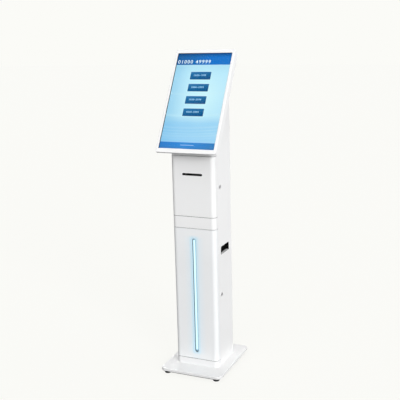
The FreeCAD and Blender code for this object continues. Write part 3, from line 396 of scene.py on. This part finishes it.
def picture(name):
    """The lit picture: header, pale ground with soft light bands, four keys and a footer."""
    t = Tree(name)
    rel = t.vmath("SUBTRACT", t.pos, tuple(DO))
    u = t.dot(rel, (1, 0, 0))
    v = t.dot(rel, tuple(DV))
    w = t.dot(rel, tuple(DW))
    s = t.span(u, -PIC_W / 2, PIC_W / 2, 0.0, 1.0)          # 0 at the left, 1 at the right
    y = t.span(v, 0.0, PIC_H, 1.0, 0.0)                     # 0 at the top, 1 at the bottom
    # ground
    down = t.ramp(y, [(0.10, lin(176, 226, 244)), (0.22, lin(188, 236, 253)), (0.44, lin(192, 237, 253)),
                      (0.66, lin(186, 233, 251)), (0.69, lin(177, 225, 248)), (0.73, lin(159, 215, 246)), (0.84, lin(161, 216, 246)), (0.94, lin(157, 213, 248))])
    cx = t.math("MULTIPLY", t.math("SUBTRACT", s, 0.62), 0.80)
    cy = t.math("SUBTRACT", y, 0.46)
    rad = t.math("SQRT", t.math("ADD", t.math("POWER", cx, 2.0), t.math("POWER", cy, 2.0)))
    c = t.mix(t.span(rad, 0.0, 0.34, 0.75, 0.0, smooth=True), down, lin(208, 248, 254))
    c = t.mix(t.span(s, 0.0, 0.34, 0.50, 0.0, smooth=True), c, lin(126, 194, 232))
    # light bands, wide and soft, with a few thin ones low down
    bend = t.math("ADD", y, t.math("MULTIPLY", t.math("POWER", t.math("SUBTRACT", s, 0.35), 2.0), 0.055))
    bands = t.noise(13.0, 2.0, 0.5, vec=t.scale(combine(t, bend), (1, 1, 1)))
    c = t.mix(t.span(bands, 0.52, 0.72, 0.0, 0.22, smooth=True), c, lin(215, 245, 252))
    fine = t.noise(34.0, 1.0, 0.5, vec=combine(t, bend))
    low = t.math("MULTIPLY", t.span(y, 0.70, 0.74, 0.0, 1.0, smooth=True), t.span(fine, 0.52, 0.66, 0.0, 0.30, smooth=True))
    c = t.mix(low, c, lin(205, 240, 255))
    zone = t.math("MULTIPLY", t.span(y, 0.71, 0.77, 0.0, 1.0, smooth=True), t.span(s, 0.0, 0.9, 0.30, 0.02))
    c = t.mix(zone, c, lin(118, 190, 240))
    # keys
    def key(top, bottom, col):
        hx = 0.1892 * PIC_W
        hy = (bottom - top) / 2 * PIC_H
        r = 0.0022
        dx = t.math("MAXIMUM", t.math("SUBTRACT", t.math("ABSOLUTE", t.math("ADD", u, 0.0019)), hx - r), 0.0)
        dy = t.math("MAXIMUM", t.math("SUBTRACT", t.math("ABSOLUTE", t.math("SUBTRACT", v, (1 - (top + bottom) / 2) * PIC_H)), hy - r), 0.0)
        d = t.math("SQRT", t.math("ADD", t.math("POWER", dx, 2.0), t.math("POWER", dy, 2.0)))
        inside = t.span(d, r - 0.0003, r + 0.0003, 1.0, 0.0)
        halo = t.span(d, r, r + 0.0075, 0.35, 0.0, smooth=True)
        slope = t.math("ADD", t.span(y, top, bottom, 0.0, 0.72), t.span(u, -hx, hx, 0.0, 0.28))
        face = t.ramp(slope, [(0.02, lin(64, 134, 182)), (0.14, lin(38, 114, 170)), (0.55, lin(20, 98, 152)), (0.97, lin(4, 76, 128))])
        col = t.mix(halo, col, lin(206, 250, 255))
        return t.mix(inside, col, face)
    for a, b in KEYS:
        c = key(a, b, c)
    # header and footer
    head = t.ramp(s, [(0.0, lin(20, 94, 160)), (0.30, lin(18, 104, 178)), (0.62, lin(19, 114, 203)), (0.96, lin(18, 116, 203)), (1.0, lin(28, 104, 170))])
    head = t.mix(t.span(y, 0.0, 0.045, 0.62, 0.0, smooth=True), head, lin(14, 52, 104))
    head = t.mix(t.math("MULTIPLY", t.span(y, 0.04, 0.12, 0.0, 0.35), s), head, lin(36, 122, 204))
    c = t.mix(t.span(y, 0.1205, 0.1225, 1.0, 0.0), c, head)
    foot = t.ramp(s, [(0.0, lin(44, 124, 202)), (0.45, lin(56, 142, 220)), (0.8, lin(52, 132, 206)), (1.0, lin(54, 128, 190))])
    foot = t.mix(t.span(y, 0.965, 1.0, 0.0, 0.42), foot, lin(54, 108, 156))
    c = t.mix(t.span(y, 0.929, 0.931, 0.0, 1.0), c, foot)
    bar = t.math("MULTIPLY", t.span(t.math("ABSOLUTE", t.math("SUBTRACT", s, 0.50)), 0.115, 0.125, 1.0, 0.0),
                 t.span(t.math("ABSOLUTE", t.math("SUBTRACT", y, 0.958)), 0.0026, 0.0038, 1.0, 0.0))
    c = t.mix(t.math("MULTIPLY", bar, 0.55), c, lin(200, 228, 255))
    # the picture stops at the panel's black border
    edge = t.math("MAXIMUM", t.span(t.math("ABSOLUTE", u), PIC_W / 2 - 0.0001, PIC_W / 2 + 0.0001, 0.0, 1.0),
                  t.span(t.math("ABSOLUTE", t.math("SUBTRACT", v, PIC_H / 2)), PIC_H / 2 - 0.0001, PIC_H / 2 + 0.0001, 0.0, 1.0))
    front = t.span(w, -0.0068, -0.0064, 0.0, 1.0)
    lit = t.math("MULTIPLY", front, t.math("SUBTRACT", 1.0, edge))
    grid = t.noise(3000.0, 1.0, 0.5)
    t.put(t.bsdf.inputs["Emission Color"], t.mix(lit, (0, 0, 0), c))
    t.bsdf.inputs["Emission Strength"].default_value = 1.0
    body = t.ramp(t.noise(60.0, 3.0, 0.5), [(0.35, (0.20, 0.205, 0.21)), (0.65, (0.34, 0.345, 0.35))])
    t.set(Base_Color=t.mix(front, body, (0.006, 0.006, 0.007)), Metallic=t.math("SUBTRACT", 1.0, front),
          Roughness=t.blend(front, 0.40, 0.35), Normal=t.bump(grid, 0.03, 0.0001))
    t.set(**{"Specular IOR Level": 0.04})
    return t.mat


def pane(name):
    """Clear touch glass with an anti-glare finish."""
    t = Tree(name)
    t.set(Base_Color=(0.985, 0.992, 0.992), Roughness=t.span(t.noise(340.0, 3.0, 0.6), 0.3, 0.7, 0.02, 0.05), IOR=1.13)
    t.set(**{"Transmission Weight": 1.0})
    t.set(Normal=t.bump(t.noise(1600.0, 2.0, 0.5), 0.01, 0.00005))
    return t.mat


def ink(name, colour):
    """Lit lettering of the picture."""
    t = Tree(name)
    grain = t.noise(500.0, 2.0, 0.5)
    c = t.ramp(grain, [(0.3, tuple(Vector(colour) * 0.97)), (0.7, colour)])
    t.set(Base_Color=(0.02, 0.02, 0.02), Roughness=t.span(grain, 0.3, 0.7, 0.45, 0.55))
    t.put(t.bsdf.inputs["Emission Color"], c)
    t.bsdf.inputs["Emission Strength"].default_value = 1.0
    return t.mat


white = powder_coat("white_powder_coat")
door_white_painted_glow = powder_coat("white_powder_coat_painted_bar_glow", (0.878, 0.894, 0.906), painted_bar_glow=True)
# painted shade: the plinth strip gets a darker white than the panels above it
plinth_white_painted_shade = powder_coat("white_powder_coat_plinth_painted_shade", (0.820, 0.826, 0.832))
black = moulded("black_plastic")
MAT = {
    "white_powder_coat": white,
    "zinc_plated_sheet": zinc_sheet("zinc_plated_sheet"),
    "black_steel_plate": mill_plate("black_steel_plate"),
    "bright_steel": turned_steel("bright_steel"),
    "foot_rubber": rubber("foot_rubber"),
    "black_plastic": black,
    "rocker_plastic": moulded("rocker_plastic", (0.018, 0.018, 0.020), 0.24, 0.06),
    "button_plastic": moulded("button_plastic", (0.03, 0.16, 0.46), 0.26, 0.08),
    "lock_chrome": plated("lock_chrome", (0.90, 0.90, 0.91), 0.30),
    "lock_plug_metal": plated("lock_plug_metal", (0.68, 0.68, 0.69), 0.34),
    "aluminium_extrusion": anodised("aluminium_extrusion"),
    "circuit_board": board("circuit_board"),
    "light_diffuser": lit_diffuser("light_diffuser"),
    "screen_glass": pane("screen_glass"),
    "screen_picture": picture("screen_picture"),
    "platen_rubber": rubber("platen_rubber", (0.05, 0.05, 0.05), 0.62),
    "gear_nylon": nylon("gear_nylon"),
    "ticket_paper": paper("ticket_paper"),
}
for name, ob in NODE.items():
    for i, s in enumerate(ob.material_slots):
        slot_name = s.material.name.split(".")[0] if s.material else "white_powder_coat"
        ob.material_slots[i].material = MAT.get(slot_name, white)
# the lower door carries the painted glow of the light bar
for s in NODE["lower_door"].material_slots:
    s.material = door_white_painted_glow
for s in NODE["plinth_strip"].material_slots:
    s.material = plinth_white_painted_shade
# the side panels carry the painted shade of the neck beside the display
side_white_neck_shade = powder_coat("white_powder_coat_sides_neck_shade", shaded_neck=True)
for n in ("side_panel_left", "side_panel_right"):
    for s in NODE[n].material_slots:
        s.material = side_white_neck_shade
# painted light and shade: the anodised channel is darkened for the shade in its slot and tinted blue for the bar's
# light
channel_painted_blue_light = anodised("anodised_channel_painted_blue_light", (0.26, 0.35, 0.40))
for s in NODE["led_channel"].material_slots:
    s.material = channel_painted_blue_light
# painted shade: the slot bezel, grip cups and exit guide are real black mouldings given a deeper, nearly reflectionless
# black so the slot and hand openings read as shade
black_painted_shade = moulded("black_plastic_painted_shade", (0.0042, 0.0042, 0.0045), 0.70, 0.22, 900.0)
black_painted_shade.node_tree.nodes["Principled BSDF"].inputs["Specular IOR Level"].default_value = 0.05
for n in ("ticket_bezel", "grip_cup_left", "grip_cup_right", "exit_guide"):
    for s in NODE[n].material_slots:
        s.material = black_painted_shade

# ------------------------------------------------------------------ pieces made here


def link(name, mesh, mat, body="column"):
    ob = bpy.data.objects.new(name, mesh)
    scene.collection.objects.link(ob)
    mesh.materials.clear()
    mesh.materials.append(mat)
    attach(ob, body)
    return ob


def rrect_pts(x0, y0, x1, y1, r, n=8):
    pts = []
    for cx, cy, a in ((x1 - r, y0 + r, -90), (x1 - r, y1 - r, 0), (x0 + r, y1 - r, 90), (x0 + r, y0 + r, 180)):
        for k in range(n + 1):
            q = math.radians(a + 90.0 * k / n)
            pts.append((cx + r * math.cos(q), cy + r * math.sin(q)))
    return pts


def lofted(name, rings, place, smooth=True):
    """A closed solid through equal rings of (x, y) points at heights, capped at both ends."""
    bm = bmesh.new()
    rows = [[bm.verts.new(place(x, y, h)) for x, y in pts] for h, pts in rings]
    for a, b in zip(rows, rows[1:]):
        n = len(a)
        for i in range(n):
            bm.faces.new((a[i], a[(i + 1) % n], b[(i + 1) % n], b[i]))
    bm.faces.new(list(reversed(rows[0])))
    bm.faces.new(rows[-1])
    bmesh.ops.recalc_face_normals(bm, faces=bm.faces)
    me = bpy.data.meshes.new(name)
    bm.to_mesh(me)
    bm.free()
    return me


def framed(name, outer, inner, w0, w1, place):
    """A closed ring between two equal loops, from height w0 to w1."""
    bm = bmesh.new()
    lo_o = [bm.verts.new(place(x, y, w0)) for x, y in outer]
    hi_o = [bm.verts.new(place(x, y, w1)) for x, y in outer]
    lo_i = [bm.verts.new(place(x, y, w0)) for x, y in inner]
    hi_i = [bm.verts.new(place(x, y, w1)) for x, y in inner]
    n = len(outer)
    for i in range(n):
        j = (i + 1) % n
        bm.faces.new((lo_o[i], lo_o[j], hi_o[j], hi_o[i]))
        bm.faces.new((lo_i[j], lo_i[i], hi_i[i], hi_i[j]))
        bm.faces.new((hi_o[i], hi_o[j], hi_i[j], hi_i[i]))
        bm.faces.new((lo_o[j], lo_o[i], lo_i[i], lo_i[j]))
    bmesh.ops.recalc_face_normals(bm, faces=bm.faces)
    me = bpy.data.meshes.new(name)
    bm.to_mesh(me)
    bm.free()
    return me


def smooth_by_angle(me, angle=35.0):
    me.polygons.foreach_set("use_smooth", [True] * len(me.polygons))
    me.set_sharp_from_angle(angle=math.radians(angle))


# touch glass: a ground-edge pane with rounded corners, a hair off the panel behind it
AX, AY0, AY1 = 139.25, -9.0, 485.0


def pane_ring(inset):
    return rrect_pts(-AX + inset, AY0 + inset, AX - inset, AY1 - inset, 3.0 - inset if inset < 2 else 1.0)


glass_me = lofted("touch_glass_pane", [(-5.70, pane_ring(0.35)), (-5.35, pane_ring(0.0)), (-3.40, pane_ring(0.0)), (-3.05, pane_ring(0.35))], disp)
smooth_by_angle(glass_me, 30)
glass = link("touch_glass_pane", glass_me, MAT["screen_glass"], "column")
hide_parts("touch_glass")

# black foam gasket that lines the window in the front frame
gask = rubber("gasket_foam", (0.012, 0.012, 0.013), 0.85)
out_l = rrect_pts(-135.23, -0.28, 135.23, 476.28, 1.48)
in_l = rrect_pts(-134.35, -0.02, 134.35, 476.02, 0.9)
gasket = link("screen_gasket", framed("screen_gasket", out_l, in_l, -3.04, -1.10, disp), gask, "column")

# lit lettering: plain number ranges
TEXT_ROT = Matrix((( 1, 0, 0), (0, DV.y, DW.y), (0, DV.z, DW.z))).to_4x4()


def numbers(name, text, u, v, cap, mat, bold=0.0, align="CENTER", spacing=1.0):
    cu = bpy.data.curves.new(name, "FONT")
    cu.body = text
    cu.size = cap * 0.001 / 0.70
    cu.align_x = align
    cu.align_y = "CENTER"
    cu.space_character = spacing
    cu.offset = bold * 0.001
    cu.extrude = 0.00005
    cu.resolution_u = 5
    tmp = bpy.data.objects.new(name + "_tmp", cu)
    scene.collection.objects.link(tmp)
    bpy.context.view_layer.update()
    dg = bpy.context.evaluated_depsgraph_get()
    me = bpy.data.meshes.new_from_object(tmp.evaluated_get(dg))
    bpy.data.objects.remove(tmp)
    bpy.data.curves.remove(cu)
    mm = Matrix.Translation(disp(u, v, -5.94)) @ TEXT_ROT
    me.transform(mm)
    me.name = name
    bm = bmesh.new()
    bm.from_mesh(me)
    bmesh.ops.remove_doubles(bm, verts=bm.verts, dist=2e-6)
    bmesh.ops.dissolve_degenerate(bm, edges=bm.edges, dist=2e-6)
    bmesh.ops.delete(bm, geom=[v for v in bm.verts if not v.link_faces], context="VERTS")
    bmesh.ops.recalc_face_normals(bm, faces=bm.faces)
    bm.to_mesh(me)
    bm.free()
    return link(name, me, mat, "column")


ink_white = ink("picture_white", lin(232, 253, 255))
ink_pale = ink("picture_pale", lin(160, 218, 255))
numbers("header_numbers", "01000 49999", -129.5, (1 - 0.0905) * 476, 17.4, ink_white, bold=0.26, align="LEFT", spacing=1.27)
for i, (a, b) in enumerate(KEYS):
    numbers("key_numbers_%d" % (i + 1), "%d000–%d999" % (i + 1, i + 1), -5.6, (1 - (a * 0.54 + b * 0.46)) * 476, 7.9, ink_pale, bold=0.30, spacing=1.24)

# rolled lips of the two hand openings: the panel's lower edge, turned inwards over the cup's floor
def grip_lip(name, s):
    prof = []
    r, t0 = 1.3, 1.2
    for k in range(7):  # outer bend, from the panel's face over the edge
        a = math.radians(90.0 * k / 6)
        prof.append((-0.25 + r * (1 - math.cos(a)) * 0.55, 574.25 + 1.9 * math.sin(a)))
    prof += [(13.0, 576.15), (13.4, 576.4), (13.4, 576.02)]
    ys = [-29.0 + 2.0 * k for k in range(0, 42)] + [54.0]
    bm = bmesh.new()
    rows = []
    for y in ys:
        e = min(1.0, min(y + 29.0, 54.0 - y) / 2.0 + 0.35)
        row = []
        for d, z in prof:
            row.append(bm.verts.new((s * (107.5 - d) * 0.001, y * 0.001, (576.02 + (z - 576.02) * e + (0.20 if d > 0.4 else 0.0)) * 0.001)))
        for d, z in ((13.4, 576.01), (-0.25, 576.01)):
            row.append(bm.verts.new((s * (107.5 - d) * 0.001, y * 0.001, z * 0.001)))
        rows.append(row)
    n = len(rows[0])
    for a, b in zip(rows, rows[1:]):
        for i in range(n):
            j = (i + 1) % n
            bm.faces.new((a[i], a[j], b[j], b[i]))
    bm.faces.new(rows[0])
    bm.faces.new(list(reversed(rows[-1])))
    bmesh.ops.recalc_face_normals(bm, faces=bm.faces)
    me = bpy.data.meshes.new(name)
    bm.to_mesh(me)
    bm.free()
    smooth_by_angle(me, 40)
    return link(name, me, lip_shade_coat, "column")


def lip_shade_paint(name):
    """White coat on the turned-in lip, with painted shade that darkens it to near black deeper inside the opening."""
    t = Tree(name)
    x, y, z = t.xyz()
    d = t.math("SUBTRACT", 0.1075, t.math("ABSOLUTE", x))
    # painted shade: darker with depth into the opening, its edge jittered by noise
    shade_depth = t.math("ADD", d, t.math("MULTIPLY", t.math("SUBTRACT", t.noise(900.0, 4.0, 0.6), 0.5), 0.0022))
    c = t.ramp(t.span(shade_depth, 0.0, 0.0134), [(0.0, (0.84, 0.843, 0.845)), (0.26, (0.78, 0.783, 0.785)), (0.52, (0.46, 0.46, 0.465)),
                                           (0.74, (0.22, 0.22, 0.222)), (0.93, (0.045, 0.045, 0.046))])
    t.set(Base_Color=c, Roughness=t.span(t.noise(130.0, 4.0, 0.6), 0.3, 0.7, 0.40, 0.52), Normal=t.bump(t.noise(900.0, 2.0, 0.5), 0.10, 0.0003))
    return t.mat


lip_shade_coat = lip_shade_paint("grip_lip_painted_shade")
grip_lip("grip_lip_right", 1)
grip_lip("grip_lip_left", -1)


# foam seals in the seams between the doors and the fixed pans, glued to the fixed side
def seam_seal(name, z_root, z_free):
    section = [(1.0, 0.0), (1.0, 0.72), (1.25, 0.93), (1.8, 1.0), (5.2, 1.0), (5.75, 0.93), (6.0, 0.72), (6.0, 0.0)]
    stations = [((107.5, -64.4), (1.0, 0.0)), ((107.5, -72.0), (1.0, 0.0))]
    for k in range(13):
        a = math.radians(-7.5 * k)
        n = (math.cos(a), math.sin(a))
        stations.append(((87.5 + 20.0 * n[0], -81.0 + 20.0 * n[1]), n))
    stations += [((30.0, -101.0), (0.0, -1.0)), ((-30.0, -101.0), (0.0, -1.0))]
    for k in range(12, -1, -1):
        a = math.radians(-180.0 + 7.5 * k)
        n = (math.cos(a), math.sin(a))
        stations.append(((-87.5 + 20.0 * n[0], -81.0 + 20.0 * n[1]), n))
    stations += [((-107.5, -72.0), (-1.0, 0.0)), ((-107.5, -64.4), (-1.0, 0.0))]
    bm = bmesh.new()
    rows = []
    for (px, py), (nx, ny) in stations:
        rows.append([bm.verts.new(((px - nx * d) * 0.001, (py - ny * d) * 0.001, (z_root + (z_free - z_root) * h) * 0.001)) for d, h in section])
    n = len(section)
    for a, b in zip(rows, rows[1:]):
        for i in range(n):
            j = (i + 1) % n
            bm.faces.new((a[i], a[j], b[j], b[i]))
    bm.faces.new(rows[0])
    bm.faces.new(list(reversed(rows[-1])))
    bmesh.ops.recalc_face_normals(bm, faces=bm.faces)
    me = bpy.data.meshes.new(name)
    bm.to_mesh(me)
    bm.free()
    smooth_by_angle(me, 40)
    return link(name, me, gask, "column")


# black rubber skirt under the ballast plate's edge, a dark strip standing in for the shade of the gap above the floor;
# it closes most of that gap
def base_shade_skirt():
    x1, y1, r = 154.8 - 6.0, 192.6 - 6.0, 20.0
    out = rrect_pts(-x1, -y1, x1, y1, r, 10)
    inn = rrect_pts(-x1 + 4.0, -y1 + 4.0, x1 - 4.0, y1 - 4.0, r - 4.0, 10)
    me = framed("base_shade_skirt", out, inn, 10.6, 17.0, lambda x, y, h: Vector((x, y, h)) * 0.001)
    return link("base_shade_skirt", me, gask, "column")


base_shade_skirt()
seam_seal("door_seal_plinth", 59.1, 60.5)
seam_seal("door_seal_band_low", 708.0, 706.6)
seam_seal("door_seal_band_high", 762.4, 763.8)
seam_seal("door_seal_neck", 1047.5, 1046.1)

# ------------------------------------------------------------------ stage


def plain_world():
    world = bpy.data.worlds.new("studio")
    scene.world = world
    world.use_nodes = True
    nt = world.node_tree
    nt.nodes.clear()
    out = nt.nodes.new("ShaderNodeOutputWorld")
    def mth(op, a, b=0.0):
        n = nt.nodes.new("ShaderNodeMath")
        n.operation = op
        for i, v in enumerate((a, b)):
            if isinstance(v, bpy.types.NodeSocket):
                nt.links.new(v, n.inputs[i])
            else:
                n.inputs[i].default_value = v
        return n.outputs[0]

    # soft light walls round the object: strong at the horizon, fading upwards
    way = nt.nodes.new("ShaderNodeTexCoord").outputs["Generated"]
    sep = nt.nodes.new("ShaderNodeSeparateXYZ")
    nt.links.new(way, sep.inputs[0])
    low = mth("POWER", mth("SUBTRACT", 1.0, mth("ABSOLUTE", sep.outputs[2])), 2.0)
    total = 0.47
    for d, power in (((-0.5, 0.85, 0.0), 0.518),):
        vm = nt.nodes.new("ShaderNodeVectorMath")
        vm.operation = "DOT_PRODUCT"
        nt.links.new(way, vm.inputs[0])
        vm.inputs[1].default_value = tuple(Vector(d).normalized())
        total = mth("ADD", mth("MULTIPLY", mth("MULTIPLY", low, mth("MAXIMUM", vm.outputs["Value"], 0.0)), power), total)
    soft = nt.nodes.new("ShaderNodeBackground")
    soft.inputs[0].default_value = (1.0, 1.0, 0.997, 1)
    nt.links.new(total, soft.inputs[1])
    seen = nt.nodes.new("ShaderNodeBackground")
    seen.inputs[0].default_value = (*lin(251, 251, 247), 1)
    seen.inputs[1].default_value = 1.0
    path = nt.nodes.new("ShaderNodeLightPath")
    mix = nt.nodes.new("ShaderNodeMixShader")
    nt.links.new(path.outputs["Is Camera Ray"], mix.inputs[0])
    nt.links.new(soft.outputs[0], mix.inputs[1])
    nt.links.new(seen.outputs[0], mix.inputs[2])
    nt.links.new(mix.outputs[0], out.inputs[0])


plain_world()


def sun(name, direction, strength, angle):
    d = bpy.data.lights.new(name, "SUN")
    d.energy = strength
    d.angle = math.radians(angle)
    o = bpy.data.objects.new(name, d)
    scene.collection.objects.link(o)
    o.rotation_mode = "QUATERNION"
    o.rotation_quaternion = (-Vector(direction)).to_track_quat("-Z", "Y")
    o.location = Vector(direction) * 5
    return o


sun("soft_key", (0.72, -0.62, 0.275), 2.32, 25)
sun("right_fill", (0.9, 0.45, 0.3), 0.554, 50)
sun("high_front", (0.1, -1.0, 1.43), 0.593, 40)
sun("back_fill", (-0.3, 0.95, 0.7), 0.306, 50)
sun("rear_soft", (-0.47, 0.88, 0.015), 0.95, 14)

# pale floor
fm = bpy.data.meshes.new("floor")
fm.from_pydata([(-30, -30, 0), (30, -30, 0), (30, 30, 0), (-30, 30, 0)], [], [(0, 1, 2, 3)])
floor = bpy.data.objects.new("floor", fm)
scene.collection.objects.link(floor)
ft = Tree("pale_floor")
ft.nt.nodes.remove(ft.bsdf)
grain = ft.noise(3.0, 2.0, 0.5)
body_d = ft.node("ShaderNodeBsdfDiffuse")
ft.put(body_d.inputs["Color"], ft.ramp(grain, [(0.3, (0.253, 0.253, 0.253)), (0.7, (0.257, 0.257, 0.257))]))
seen_d = ft.node("ShaderNodeBsdfDiffuse")
seen_d.inputs["Color"].default_value = (0.075, 0.075, 0.0745, 1)
seen_e = ft.node("ShaderNodeEmission")
seen_e.inputs["Color"].default_value = (*lin(252, 252, 248), 1)
seen_e.inputs["Strength"].default_value = 0.91
add = ft.node("ShaderNodeAddShader")
ft.nt.links.new(seen_d.outputs[0], add.inputs[0])
ft.nt.links.new(seen_e.outputs[0], add.inputs[1])
lp = ft.node("ShaderNodeLightPath")
mixs = ft.node("ShaderNodeMixShader")
ft.nt.links.new(lp.outputs["Is Camera Ray"], mixs.inputs[0])
ft.nt.links.new(body_d.outputs[0], mixs.inputs[1])
ft.nt.links.new(add.outputs[0], mixs.inputs[2])
ft.nt.links.new(mixs.outputs[0], ft.out.inputs["Surface"])
fm.materials.append(ft.mat)
